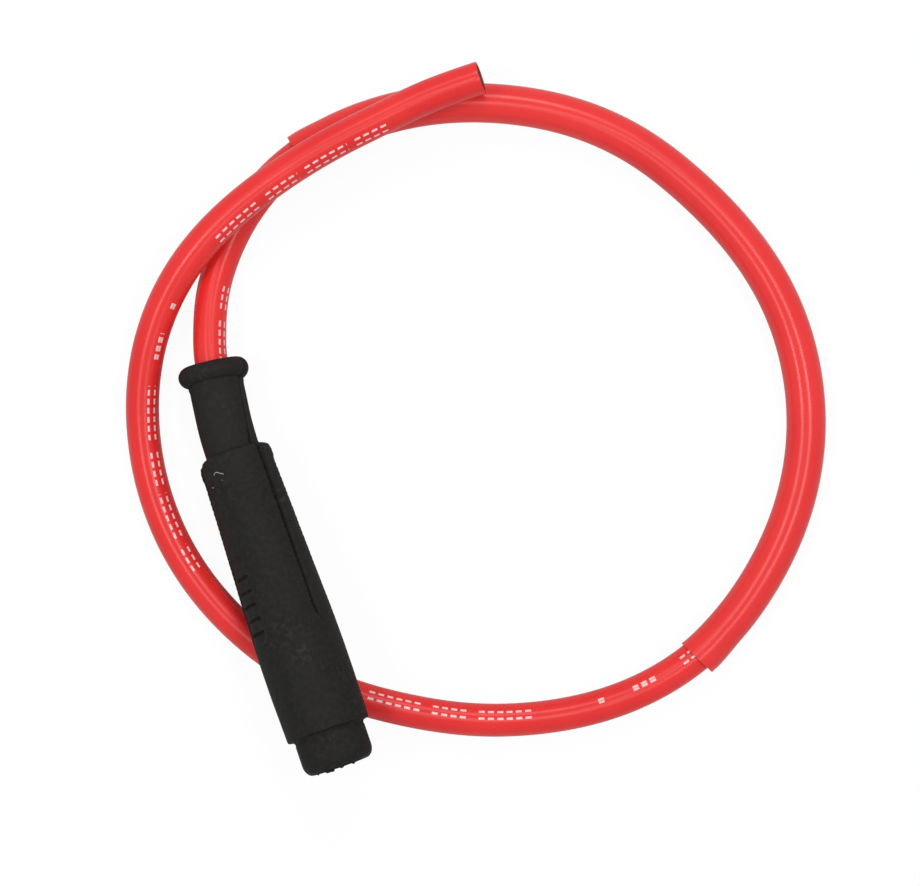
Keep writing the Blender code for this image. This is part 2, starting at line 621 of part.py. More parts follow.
def build():
    clear_scene()
    parts = new_collection("spark_plug_cap")
    cutters = new_collection("cutters")
    axis = bpy.data.objects.new("cap_axis", None)
    parts.objects.link(axis)
    axis.matrix_world = CAP_TO_WORLD

    rubber = material("boot_rubber", (0.030, 0.030, 0.032), 0.62)
    resin = material("holder_resin", (0.035, 0.026, 0.022), 0.45)
    brass = material("terminal_brass", (0.62, 0.47, 0.24), 0.32, 1.0)
    steel = material("spring_steel", (0.56, 0.56, 0.57), 0.30, 1.0)
    ceramic = material("resistor_ceramic", (0.55, 0.50, 0.42), 0.55)
    red_lead = material("lead_jacket", (0.80, 0.050, 0.045), 0.35)
    red_sleeve = material("sleeve_plastic", (0.82, 0.060, 0.055), 0.30)

    finish_piece(rubber_boot(parts, cutters, axis), rubber)
    finish_piece(resin_holder(parts, axis), resin)
    finish_piece(plug_socket(parts, cutters, axis), brass)
    finish_piece(retaining_clip(parts, axis), steel)
    finish_piece(contact_spring(parts, axis), steel)
    rod, cup_low, cup_high = resistor(parts, axis)
    finish_piece(rod, ceramic)
    finish_piece(cup_low, brass)
    finish_piece(cup_high, brass)
    finish_piece(wire_terminal(parts, axis), brass)

    length, line = lead_curve()
    stations, sleeve_first, sleeve_last = lead_stations(length)
    finish_piece(ht_lead(parts, cutters, line, stations), red_lead)
    finish_piece(lead_sleeve(parts, line, stations[sleeve_first:sleeve_last + 1]), red_sleeve)


build()
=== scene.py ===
"""Looks for the spark plug cap: its boot, lead, sleeve and metal parts, on a pale floor in soft studio light.

Lengths are metres in the row frame. The cap's own axis runs from z = 0 at its mouth towards the lead, and
its matrix lays it down. Sections of the boot are drawn as radii over the angle round that axis.
"""
import math

import bmesh
import bpy
import numpy as np
from mathutils import Matrix, Vector


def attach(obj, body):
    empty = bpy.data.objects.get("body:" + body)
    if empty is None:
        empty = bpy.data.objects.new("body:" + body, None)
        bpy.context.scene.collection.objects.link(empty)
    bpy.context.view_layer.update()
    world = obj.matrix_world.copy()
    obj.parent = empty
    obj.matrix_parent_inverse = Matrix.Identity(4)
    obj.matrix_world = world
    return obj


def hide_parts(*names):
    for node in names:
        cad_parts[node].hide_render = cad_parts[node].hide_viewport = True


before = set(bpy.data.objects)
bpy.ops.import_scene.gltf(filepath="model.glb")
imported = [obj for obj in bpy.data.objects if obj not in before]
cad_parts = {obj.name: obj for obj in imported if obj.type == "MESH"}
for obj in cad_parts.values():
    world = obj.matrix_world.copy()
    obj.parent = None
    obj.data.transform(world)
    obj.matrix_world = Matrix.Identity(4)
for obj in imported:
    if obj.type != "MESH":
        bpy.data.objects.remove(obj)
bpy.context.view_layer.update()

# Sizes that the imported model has
LEAD_D = 0.0070
SLEEVE_D = 0.0083
SLEEVE_START = 0.0500         # along the lead, from the collar
SLEEVE_LENGTH = 0.2035
CAP_LENGTH = 0.0890
SHOULDER_Z = 0.0691
NECK_BEND = math.radians(6.75)
NECK_BEND_LENGTH = 0.0080
CAP_ROLL = math.radians(-20)
LEAD_END_Z = 0.0618           # the lead's end inside the cap
CAP_LEAN = 0.1320444          # radians: the mouth is higher than the collar
MOUTH_Y = -0.0440535
MOUTH_HEIGHT = 0.0187211
LAID_DOWN = Matrix.Rotation(-math.pi / 2 - CAP_LEAN, 4, "X")
CAP_TO_WORLD = Matrix.Translation((0, MOUTH_Y, MOUTH_HEIGHT)) @ LAID_DOWN
ROUTE_MM = (
    (3.7, 50.5, 6.0), (6.6, 57.3, 4.8), (11.5, 64.5, 3.8), (18.6, 71.4, 3.6), (27.1, 76.7, 4.1),
    (37.7, 80.3, 4.2), (51.0, 81.5, 4.2), (65.3, 79.6, 4.2), (78.9, 74.8, 4.2), (91.3, 67.5, 4.2),
    (101.8, 57.5, 4.2), (109.8, 45.3, 4.2), (115.9, 31.8, 4.2), (119.4, 16.9, 4.2), (119.0, 1.3, 4.2),
    (114.6, -13.9, 4.2), (106.3, -27.6, 4.2), (94.8, -39.0, 4.2), (82.2, -46.9, 4.2), (70.4, -50.8, 4.1),
    (55.7, -52.0, 3.6), (41.4, -49.9, 3.6), (27.9, -45.4, 3.6), (15.5, -38.8, 3.6), (4.1, -30.6, 3.6),
    (-5.6, -20.1, 3.6), (-13.0, -7.8, 3.6), (-17.7, 6.1, 3.6), (-19.0, 20.7, 3.6), (-16.8, 35.3, 4.0),
    (-11.1, 48.9, 5.8), (-2.9, 59.4, 8.2), (7.4, 67.3, 10.3), (19.0, 72.8, 11.1), (30.7, 76.3, 11.8),
    (42.3, 78.6, 12.3), (52.0, 79.8, 12.4), (63.2, 80.9, 12.8), (75.2, 80.8, 14.0),
)
NECK_ROUTE_STEPS = 6


# Camera: looking straight down from 0.6 m, turned so that the cap lies as photographed
VIEW_X = 0.0456
VIEW_Y = 0.0105
CAMERA_HEIGHT = 0.600
CAMERA_LENS = 110.035
CAMERA_TURN = math.radians(-19.548)
PICTURE_RIGHT = Vector((math.cos(CAMERA_TURN), math.sin(CAMERA_TURN), 0))
PICTURE_UP = Vector((-math.sin(CAMERA_TURN), math.cos(CAMERA_TURN), 0))
camera_data = bpy.data.cameras.new("camera")
camera_data.sensor_width = 36
camera_data.lens = CAMERA_LENS
camera = bpy.data.objects.new("camera", camera_data)
camera.location = (VIEW_X, VIEW_Y, CAMERA_HEIGHT)
camera.rotation_euler = (0, 0, CAMERA_TURN)
bpy.context.scene.collection.objects.link(camera)
bpy.context.scene.camera = camera


# Curves and meshes
def smooth_curve(points):
    """A smooth curve through the points: returns its length and a function from distance to place."""
    knots = np.array(points, float)
    chords = np.linalg.norm(np.diff(knots, axis=0), axis=1)
    at = np.concatenate([[0.0], np.cumsum(chords)])
    count = len(at)
    system = np.zeros((count, count))
    pull = np.zeros((count, knots.shape[1]))
    system[0, 0] = system[-1, -1] = 1.0
    for i in range(1, count - 1):
        before, after = at[i] - at[i - 1], at[i + 1] - at[i]
        system[i, i - 1:i + 2] = before, 2 * (before + after), after
        pull[i] = 6 * ((knots[i + 1] - knots[i]) / after - (knots[i] - knots[i - 1]) / before)
    bend = np.linalg.solve(system, pull)

    def place(distance):
        i = min(max(int(np.searchsorted(at, distance)) - 1, 0), count - 2)
        span = at[i + 1] - at[i]
        left, right = at[i + 1] - distance, distance - at[i]
        return (bend[i] * left ** 3 / (6 * span) + bend[i + 1] * right ** 3 / (6 * span)
                + (knots[i] / span - bend[i] * span / 6) * left
                + (knots[i + 1] / span - bend[i + 1] * span / 6) * right)

    return at[-1], place


def bend_neck(points):
    """Move points of the upright cap with its neck, which leans over from the shoulder on."""
    points = np.array(points, float)
    reach = np.maximum(points[..., 2] - SHOULDER_Z, 0)
    radius = NECK_BEND_LENGTH / NECK_BEND
    angle = np.minimum(reach, NECK_BEND_LENGTH) / radius
    straight = np.maximum(reach - NECK_BEND_LENGTH, 0)
    moved = points.copy()
    moved[..., 0] = radius * (1 - np.cos(angle)) + straight * np.sin(angle) + points[..., 0] * np.cos(angle)
    moved[..., 2] = np.where(
        reach > 0,
        SHOULDER_Z + radius * np.sin(angle) + straight * np.cos(angle) - points[..., 0] * np.sin(angle),
        points[..., 2])
    return moved


def to_world(points):
    matrix = np.array(CAP_TO_WORLD)
    return np.array(points, float) @ matrix[:3, :3].T + matrix[:3, 3]


def link_object(name, data):
    made = bpy.data.objects.new(name, data)
    bpy.context.scene.collection.objects.link(made)
    return made


def wall_faces(first, rings, sides):
    """Quads between rings of points that lie one after another, from the point numbered first."""
    faces = []
    for low in range(first, first + (rings - 1) * sides, sides):
        high = low + sides
        for k in range(sides):
            n = (k + 1) % sides
            faces.append((low + k, low + n, high + n, high + k))
    return faces


def end_faces(first, rings, sides):
    """The two flat ends of such a wall."""
    last = first + (rings - 1) * sides
    return [tuple(first + k for k in reversed(range(sides))), tuple(last + k for k in range(sides))]


def grid_piece(name, rings, surface, u=None, caps=(False, False), wrap=False, smooth_angle=40):
    """A mesh of rings of points, with quads between neighbours, which rides on the body.

    Caps close its first and last ring with a fan, and wrap joins the last ring to the first. Its UVs are each
    ring's u and the share of the way round it.
    """
    rings = np.array(rings, float)
    rows, columns = rings.shape[:2]
    u = np.arange(rows, dtype=float) if u is None else np.array(u, float)
    verts = rings.reshape(-1, 3).tolist()
    faces, uvs = [], []
    last = rows if wrap else rows - 1
    for i in range(last):
        j = (i + 1) % rows
        for k in range(columns):
            n = (k + 1) % columns
            faces.append((i * columns + k, i * columns + n, j * columns + n, j * columns + k))
            a, b = k / columns, (k + 1) / columns
            uvs += [(u[i], a), (u[i], b), (u[j], b), (u[j], a)]
    for end, on in enumerate(caps):
        if on:
            row = 0 if end == 0 else rows - 1
            verts.append(rings[row].mean(0).tolist())
            for k in range(columns):
                n = (k + 1) % columns
                pair = (row * columns + n, row * columns + k)
                faces.append((len(verts) - 1, *(pair if end == 0 else pair[::-1])))
                uvs += [(u[row], k / columns)] * 3
    mesh = bpy.data.meshes.new(name)
    mesh.from_pydata(verts, [], faces)
    layer = mesh.uv_layers.new(name="UVMap")
    layer.data.foreach_set("uv", np.array(uvs, np.float32).ravel())
    mesh.materials.append(surface)
    mesh.shade_smooth()
    mesh.set_sharp_from_angle(angle=math.radians(smooth_angle))
    piece = link_object(name, mesh)
    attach(piece, "root")
    return piece


def step(x, low, high):
    """Smoothly from 0 below low to 1 above high."""
    t = np.clip((np.asarray(x, float) - low) / (high - low), 0, 1)
    return t * t * (3 - 2 * t)


def soft_min(a, b, width):
    h = np.clip(0.5 + 0.5 * (b - a) / width, 0, 1)
    return b + (a - b) * h - width * h * (1 - h)


def soft_max(a, b, width):
    return -soft_min(-a, -b, width)


# Materials
class Nodes:
    """Builds a node material in few lines: each call adds a node and returns an output."""

    def __init__(self, name):
        self.material = bpy.data.materials.new(name)
        self.material.use_nodes = True
        self.tree = self.material.node_tree
        self.shader = self.tree.nodes["Principled BSDF"]

    def put(self, socket, value):
        if isinstance(value, bpy.types.NodeSocket):
            self.tree.links.new(value, socket)
        elif isinstance(value, (tuple, list)) and len(value) == 3 and socket.type == "RGBA":
            socket.default_value = (*value, 1)
        else:
            socket.default_value = value

    def add(self, kind, output=0, inputs=(), **settings):
        node = self.tree.nodes.new("ShaderNode" + kind)
        for key, value in settings.items():
            setattr(node, key, value)
        for key, value in dict(inputs).items():
            self.put(node.inputs[key], value)
        return node.outputs[output]

    def math(self, operation, *values):
        return self.add("Math", inputs=dict(enumerate(values)), operation=operation)

    def noise(self, vector, scale, detail, rough):
        settings = {"Vector": vector, "Scale": scale, "Detail": detail, "Roughness": rough}
        return self.add("TexNoise", 0, settings)

    def between(self, value, low, high, to_low=0.0, to_high=1.0):
        """The value's share between low and high, smoothly, as to_low to to_high."""
        return self.add("MapRange", 0, {0: value, 1: low, 2: high, 3: to_low, 4: to_high},
                        interpolation_type="SMOOTHSTEP")

    def mix(self, factor, a, b):
        return self.add("Mix", 2, {0: factor, 6: a, 7: b}, data_type="RGBA")

    def bump(self, height, distance, strength):
        return self.add("Bump", 0, {"Height": height, "Distance": distance, "Strength": strength})

    def finish(self, **inputs):
        for key, value in inputs.items():
            self.put(self.shader.inputs[key.replace("_", " ")], value)
        return self.material


SCUFF_PLACE = (0.0008, -0.0195, 0.0245)


def rubber_material():
    """Matt moulded rubber: mottled black with faint dust, a fine grain and a scuff, and painted light that
    makes the neck paler.
    """
    n = Nodes("boot_rubber")
    place = n.add("TexCoord", "Object")
    wide = n.noise(place, 90, 4, 0.6)
    fine = n.noise(place, 900, 3, 0.6)
    grain = n.noise(place, 3800, 2, 0.5)
    dust = n.math("MULTIPLY", n.between(wide, 0.46, 0.72), n.between(fine, 0.45, 0.75))
    from_scuff = n.add("VectorMath", 1, {0: place, 1: SCUFF_PLACE}, operation="DISTANCE")
    near_scuff = n.between(from_scuff, 0.0005, 0.0030, 1.0, 0.0)
    scuff = n.math("MULTIPLY", near_scuff, n.between(fine, 0.45, 0.65))
    color = n.mix(n.between(fine, 0.3, 0.7), (0.0132, 0.0127, 0.0116), (0.0180, 0.0174, 0.0158))
    # painted light: the rubber turns paler from the shoulder up the neck, where more light falls
    along = n.add("SeparateXYZ", 1, {0: place})
    color = n.mix(n.between(along, 0.012, 0.030, 0.0, 0.6), color, (0.0205, 0.0198, 0.0182))
    color = n.mix(n.math("MULTIPLY", dust, 0.5), color, (0.040, 0.039, 0.036))
    color = n.mix(n.math("MULTIPLY", scuff, 0.32), color, (0.060, 0.059, 0.055))
    rough = n.between(wide, 0.3, 0.7, 0.60, 0.74)
    height = n.math("ADD", n.math("MULTIPLY", grain, 0.5), fine)
    return n.finish(Base_Color=color, Roughness=rough, Specular_IOR_Level=0.12,
                    Normal=n.bump(height, 0.00006, 0.6))


def red_material(name, color, shade, rough, printed):
    """Extruded red silicone: faint lines along its length and, on the lead, a row of plain white dashes."""
    n = Nodes(name)
    uv = n.add("UVMap", 0)
    split = n.add("SeparateXYZ", 0, {0: uv}).node
    along, round_it = split.outputs[0], split.outputs[1]
    place = n.add("TexCoord", "Object")
    wide = n.noise(place, 60, 3, 0.5)
    fine = n.noise(place, 1500, 2, 0.5)
    drawn_out = {0: n.math("MULTIPLY", along, 30.0), 1: n.math("MULTIPLY", round_it, 60.0)}
    lines = n.noise(n.add("CombineXYZ", 0, drawn_out), 1.0, 2, 0.5)
    base = n.mix(n.between(wide, 0.3, 0.7), color, shade)
    base = n.mix(n.between(lines, 0.52, 0.8, 0.0, 0.35), base, shade)
    if printed:
        wear = n.between(fine, 0.25, 0.6, 0.6, 0.9)
        base = n.mix(n.math("MULTIPLY", dashes(n, along, round_it), wear), base, (0.95, 0.70, 0.70))
    height = n.math("ADD", lines, n.math("MULTIPLY", fine, 0.35))
    tangent = n.add("Tangent", 0, direction_type="UV_MAP", uv_map="UVMap")
    return n.finish(Base_Color=base, Roughness=n.between(wide, 0.3, 0.7, rough, rough + 0.07),
                    Specular_IOR_Level=0.4, Anisotropic=0.8, Tangent=tangent,
                    Normal=n.bump(height, 0.00002, 0.35))


# The row of dashes: where it lies round the lead, as a share of a turn, and how it winds along the lead
ROW_TURN = 0.150
ROW_WINDS = ((0.10, 0.20, -0.088), (0.325, 0.352, 0.012), (0.395, 0.445, 0.038), (0.450, 0.500, 0.014))
DASH_PITCH = 0.0020
DASH_OFFSET = 0.034           # of each of the two lines of dashes from the row's middle
DASH_HALF = 0.0125
DASH_EDGE = 0.003

# The dashes' runs along the lead, each with its groups: start, number of dashes, share of their full height
PRINT_RUNS = (
    (0.02, 0.04, ((0.026, 5, 1.0), (0.038, 3, 1.0))),
    (0.27, 0.09, ((0.280, 2, 1.0), (0.290, 3, 0.4), (0.302, 1, 0.4), (0.318, 6, 1.0), (0.332, 4, 1.0),
                  (0.342, 6, 1.0))),
    (0.39, 0.14, ((0.400, 3, 1.0), (0.408, 5, 1.0), (0.420, 4, 1.0), (0.430, 6, 1.0), (0.448, 3, 0.4),
                  (0.460, 1, 0.4), (0.478, 6, 1.0), (0.492, 4, 1.0), (0.502, 5, 1.0), (0.514, 4, 1.0))),
)


def dashes(n, along, round_it):
    """Groups of short double dashes where the lead carries its print, in a row that winds round it."""
    turn = ROW_TURN
    for low, high, more in ROW_WINDS:
        turn = n.math("ADD", turn, n.between(along, low, high, 0.0, more))
    wrapped = n.math("FRACT", n.math("ADD", n.math("SUBTRACT", round_it, turn), 1.5))
    across = n.math("ABSOLUTE", n.math("SUBTRACT", wrapped, 0.5))
    height = 0.0
    for begin, length, groups in PRINT_RUNS:
        node = n.add("ValToRGB", 0, {0: n.math("DIVIDE", n.math("SUBTRACT", along, begin), length)}).node
        ramp = node.color_ramp
        ramp.interpolation = "CONSTANT"
        ramp.elements[0].position = 0.0
        ramp.elements[0].color = (0, 0, 0, 1)
        ramp.elements.remove(ramp.elements[1])
        for start, count, tall in groups:
            ramp.elements.new((start - begin) / length).color = (tall, tall, tall, 1)
            ramp.elements.new((start + count * DASH_PITCH - begin) / length).color = (0, 0, 0, 1)
        height = n.math("ADD", height, node.outputs[0])
    off_row = n.math("ABSOLUTE", n.math("SUBTRACT", across, n.math("MULTIPLY", height, DASH_OFFSET)))
    in_row = n.between(off_row, DASH_HALF - DASH_EDGE, DASH_HALF, 1.0, 0.0)
    row = n.math("MULTIPLY", in_row, n.between(height, 0.0, 0.2))
    beat = n.math("FRACT", n.math("DIVIDE", along, DASH_PITCH))
    mark = n.math("MULTIPLY", n.between(beat, 0.16, 0.22), n.between(beat, 0.80, 0.86, 1.0, 0.0))
    return n.math("MULTIPLY", row, mark)


def metal_material(name, color, rough):
    """Turned or drawn metal with fine tool lines and darker stains."""
    n = Nodes(name)
    place = n.add("TexCoord", "Object")
    stain = n.noise(place, 500, 4, 0.6)
    scratch = n.noise(n.add("Mapping", 0, {"Vector": place, "Scale": (1, 14, 1)}), 2200, 2, 0.5)
    tone = n.mix(n.between(stain, 0.35, 0.75), color, tuple(c * 0.62 for c in color))
    worn = n.between(scratch, 0.3, 0.7, rough, rough + 0.18)
    return n.finish(Base_Color=tone, Metallic=1.0, Roughness=worn, Normal=n.bump(scratch, 0.00001, 0.4))


def grainy_material(name, color, dark, rough, scale):
    """A moulded or fired surface with a fine grain."""
    n = Nodes(name)
    place = n.add("TexCoord", "Object")
    grain = n.noise(place, scale, 4, 0.6)
    tone = n.mix(n.between(grain, 0.35, 0.7), color, dark)
    return n.finish(Base_Color=tone, Roughness=n.between(grain, 0.3, 0.7, rough, rough + 0.12),
                    Normal=n.bump(grain, 0.00003, 0.4))


rubber = rubber_material()
jacket_red = red_material("lead_jacket", (0.835, 0.032, 0.031), (0.77, 0.024, 0.024), 0.30, True)
sleeve_red = red_material("sleeve_plastic", (0.835, 0.037, 0.036), (0.785, 0.031, 0.031), 0.28, False)
dark_core = grainy_material("lead_insulation", (0.004, 0.0035, 0.0035), (0.008, 0.007, 0.007), 0.75, 2500)
copper = metal_material("lead_copper", (0.42, 0.22, 0.13), 0.38)
resin = grainy_material("holder_resin", (0.035, 0.026, 0.022), (0.060, 0.045, 0.036), 0.40, 1400)
brass = metal_material("terminal_brass", (0.66, 0.50, 0.25), 0.26)
steel = metal_material("spring_steel", (0.56, 0.56, 0.57), 0.24)
ceramic = grainy_material("resistor_ceramic", (0.58, 0.53, 0.44), (0.47, 0.42, 0.35), 0.5, 1800)
for node, surface in (("resin_holder", resin), ("plug_socket", brass), ("retaining_clip", steel),
                      ("contact_spring", steel), ("resistor_rod", ceramic), ("resistor_cap_lower", brass),
                      ("resistor_cap_upper", brass), ("wire_terminal", brass)):
    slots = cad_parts[node].data.materials
    slots.clear()
    slots.append(surface)


# The lead: a tube of rings along the same route as its solid
LEAD_R = LEAD_D / 2
LEAD_SIDES = 48
LEAD_RINGS = 360
LEAD_PATH_POINTS = 300
LAST_STRETCH = 0.002          # before the cut, where the rings turn into the cut's plane
CORE_R = 0.00302
CORE_GAP = 0.00006            # between the insulation and the jacket
CORE_SIDES = 40
CORE_DEPTH = 0.0032
PILOT_R = 0.0014
PILOT_DEPTH = 0.0076
EDGE = 0.00012
END_SLANT = -0.025
LINE_REACH = 0.0005           # half the stretch over which the line's direction is read


def lead_line():
    shares = [i / NECK_ROUTE_STEPS for i in range(NECK_ROUTE_STEPS + 1)]
    heights = [LEAD_END_Z + (CAP_LENGTH - LEAD_END_Z) * share for share in shares]
    inside = to_world(bend_neck([(0, 0, z) for z in heights]))
    free = np.array(ROUTE_MM) / 1000
    return smooth_curve(np.concatenate([inside, free]))


LINE_LENGTH, line_at = lead_line()


def line_frame(distance):
    """Place, tangent, up and right-hand side of the line's direction at a distance along it."""
    low, high = max(distance - LINE_REACH, 0), min(distance + LINE_REACH, LINE_LENGTH)
    tangent = line_at(high) - line_at(low)
    tangent /= np.linalg.norm(tangent)
    side = np.cross(tangent, (0, 0, 1))
    side /= np.linalg.norm(side)
    return line_at(distance), tangent, np.cross(side, tangent), side


def ring(distance, radius, sides, slant=0.0, shift=0.0, wide=1.0):
    """Points round the line: slant leans the ring's plane, and shift and wide move and stretch it aside."""
    place, tangent, up, side = line_frame(distance)
    angles = np.arange(sides) / sides * math.tau
    out = np.cos(angles)[:, None] * up + wide * np.sin(angles)[:, None] * side
    lean = slant * np.sin(angles)[:, None] * tangent * radius
    return place + shift * side + radius * out + lean


def end_ring(radius, sides, from_end):
    """A ring near the cut end, whose plane leans so that the cut shows a little from above."""
    place, tangent, up, side = line_frame(LINE_LENGTH)
    angles = np.arange(sides) / sides * math.tau
    lean = (END_SLANT * radius * np.cos(angles)[:, None] - from_end) * tangent
    return place + radius * (np.cos(angles)[:, None] * up + np.sin(angles)[:, None] * side) + lean


def make_lead():
    """The jacket: the terminal's hole at one end, the outside, and the cut with the core's hole."""
    rings, marks = [], []
    for distance, radius in ((PILOT_DEPTH, PILOT_R), (0, PILOT_R), (0, LEAD_R - EDGE), (EDGE, LEAD_R)):
        rings.append(ring(distance, radius, LEAD_SIDES))
        marks.append(distance)
    for distance in np.linspace(0, LINE_LENGTH - LAST_STRETCH, LEAD_RINGS)[1:]:
        rings.append(ring(distance, LEAD_R, LEAD_SIDES))
        marks.append(distance)
    hole_r = CORE_R + CORE_GAP
    for radius, back in ((LEAD_R, LAST_STRETCH / 2 + EDGE), (LEAD_R, EDGE), (LEAD_R - 0.3 * EDGE, 0.3 * EDGE),
                         (LEAD_R - EDGE, 0), (CORE_R + 0.6 * EDGE, 0), (hole_r, 0.6 * EDGE),
                         (hole_r, CORE_DEPTH)):
        rings.append(end_ring(radius, LEAD_SIDES, back))
        marks.append(LINE_LENGTH - back)
    lead = grid_piece("lead_jacket_tube", rings, jacket_red, u=marks, caps=(True, True))
    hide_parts("ht_lead")
    return lead


# The cut end: the insulation's rings as radius and distance from the cut, and the bundle of strands
CORE_RINGS = ((0.00095, 0.0014), (0.00095, 0.0003), (0.00105, 0.0002), (CORE_R - 0.0002, 0.00012),
              (CORE_R, 0.0002), (CORE_R, CORE_DEPTH - 0.0001))
STRAND_CIRCLES = ((0.0, 1, 0.0), (0.00036, 6, 0.0), (0.00071, 12, 0.5))    # radius, strands, share turned
STRAND_SIDES = 8
STRAND_R = 0.00016
STRAND_TIP_R = 0.00011
STRAND_EDGE = 0.00005
STRAND_ROOT = 0.0013
STRAND_TIP = 0.00022
STRAND_SPREAD = 0.00008       # the tips don't end level


def make_core():
    """The black insulation inside the jacket at the cut, with the bundle of strands in its middle."""
    core_rings = [end_ring(radius, CORE_SIDES, back) for radius, back in CORE_RINGS]
    core = grid_piece("lead_insulation", core_rings, dark_core, caps=(True, True))
    place, tangent, up, side = line_frame(LINE_LENGTH)
    spots = []
    for radius, count, turn in STRAND_CIRCLES:
        for a in (np.arange(count) + turn) / count * math.tau:
            spots.append((radius * math.cos(a), radius * math.sin(a)))
    verts, faces = [], []
    for index, (x, y) in enumerate(spots):
        tip = STRAND_TIP + STRAND_SPREAD * math.sin(index * 2.4)
        faces += wall_faces(len(verts), 3, STRAND_SIDES) + end_faces(len(verts), 3, STRAND_SIDES)
        for back, radius in ((STRAND_ROOT, STRAND_R), (tip + STRAND_EDGE, STRAND_R), (tip, STRAND_TIP_R)):
            center = place + x * up + y * side + (END_SLANT * x - back) * tangent
            for k in range(STRAND_SIDES):
                a = math.tau * k / STRAND_SIDES
                verts.append(tuple(center + radius * (math.cos(a) * up + math.sin(a) * side)))
    mesh = bpy.data.meshes.new("lead_strands")
    mesh.from_pydata(verts, [], faces)
    mesh.materials.append(copper)
    strands = link_object("lead_strands", mesh)
    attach(strands, "root")
    return core, strands


SLEEVE_R = SLEEVE_D / 2
SLEEVE_WALL = 0.00036
SLEEVE_SIDES = 64
SLEEVE_RINGS = 150
SLANT_LENGTH = 0.012

# The sleeve's ends, first and last: how far their easing reaches, and their slant, move and stretch aside
SLEEVE_EASE = (0.008, 0.009)
SLEEVE_SLANT = (-0.10, 0.14)
SLEEVE_SHIFT = (-0.00028, -0.00038)
SLEEVE_WIDER = (0.035, 0.055)


def make_sleeve():
    """The thin loose sleeve: its walls out and back, cut a little askew, with its ends eased open."""
    start = CAP_LENGTH - LEAD_END_Z + SLEEVE_START
    end = start + SLEEVE_LENGTH
    stations = np.linspace(start, end, SLEEVE_RINGS)

    def near_ends(s, first_reach, last_reach):
        return 1 - float(step(s, start, start + first_reach)), float(step(s, end - last_reach, end))

    def by_ends(shares, values):
        return shares[0] * values[0] + shares[1] * values[1]

    def wall(s, radius):
        eased = near_ends(s, *SLEEVE_EASE)
        slant = by_ends(near_ends(s, SLANT_LENGTH, SLANT_LENGTH), SLEEVE_SLANT)
        shift = by_ends(eased, SLEEVE_SHIFT)
        return ring(s, radius, SLEEVE_SIDES, slant, shift, wide=1 + by_ends(eased, SLEEVE_WIDER))

    outer = [wall(s, SLEEVE_R) for s in stations]
    inner = [wall(s, SLEEVE_R - SLEEVE_WALL) for s in reversed(stations)]
    marks = list(stations) + list(reversed(stations))
    sleeve = grid_piece("lead_sleeve_tube", outer + inner, sleeve_red, u=marks, wrap=True)
    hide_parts("lead_sleeve")
    return sleeve


lead = make_lead()
lead_path = [line_at(s) for s in np.linspace(0, LINE_LENGTH, LEAD_PATH_POINTS)]
insulation, strands = make_core()
sleeve = make_sleeve()


# The boot's mouth and skirt
SKIRT_R = 0.00752
SKIRT_LENGTH = 0.0075
SKIRT_FILLET = 0.0008         # where it meets the body
SKIRT_MEET = 0.0001           # how far the fillet reaches past the skirt's top and into its wall
SKIRT_TOP_Z = SKIRT_LENGTH - 0.0010     # of its straight wall
LIP_LENGTH = 0.0023
LIP_FLAT_R = 0.0058
LIP_DROP = 0.00015            # the lip's edge lies this far below z = 0

# Its body, shoulder and the reliefs in front and behind, which leave a rib standing on each side
BASE_R = 0.00884
BASE_ROUND = 0.0004
BASE_Z = SKIRT_LENGTH + 0.0005
BODY_R = 0.00906
BODY_WIDE_Z = 0.0235
BODY_MID_R = 0.00858
BODY_MID_Z = 0.0430
SHOULDER_R = 0.00798
SHOULDER_ROUND = 0.0018
SHOULDER_FLARE = 0.00020
FLARE_Z = (0.0650, 0.0656, 0.0682)      # where it starts, is full, and fades up to the shoulder
RELIEF_ROUND = 0.0010
RELIEF_SHOULDER_R = 0.00711
RELIEF_NECK_R = 0.00578
RELIEF_END_Z = 0.0320
RELIEF_END_STEP = 0.00012
RUN_OUT_Z = (RELIEF_END_Z - 0.0006, RELIEF_END_Z + 0.0001)
RIB_HALF_LOW = 0.0035
RIB_HALF_HIGH = 0.0006
RIB_NECK_LESS = 0.00032       # the rib's half thickness is this much less on the neck
RIB_NECK_Z = SHOULDER_Z + 0.003         # from here on, and less so down to the shoulder
RIB_SHARP = 0.00035           # how softly the rib's edge and foot turn
RIB_FOOT = 0.00012

# Its neck and collar
NECK_R = 0.00603
NECK_FOOT = 0.0005
NECK_FOOT_OUT = 0.0004
NECK_TOP_Z = 0.0845
NECK_RELIEF_Z = (0.0832, 0.0843)        # where the neck's relief fades out
UNDERCUT = 0.00014
UNDERCUT_Z = 0.0843
UNDERCUT_REACH = 0.0003
COLLAR_RING_R = 0.00515
COLLAR_TUBE_R = 0.00236
COLLAR_MID_Z = 0.0867
COLLAR_FLAT = 0.00019         # pressed flat where it lies on the ground
COLLAR_FLAT_Z = (0.0836, 0.0846)
COLLAR_SHEAR = 0.10           # its front leans back
COLLAR_SHEAR_Z = (0.0846, 0.0885)

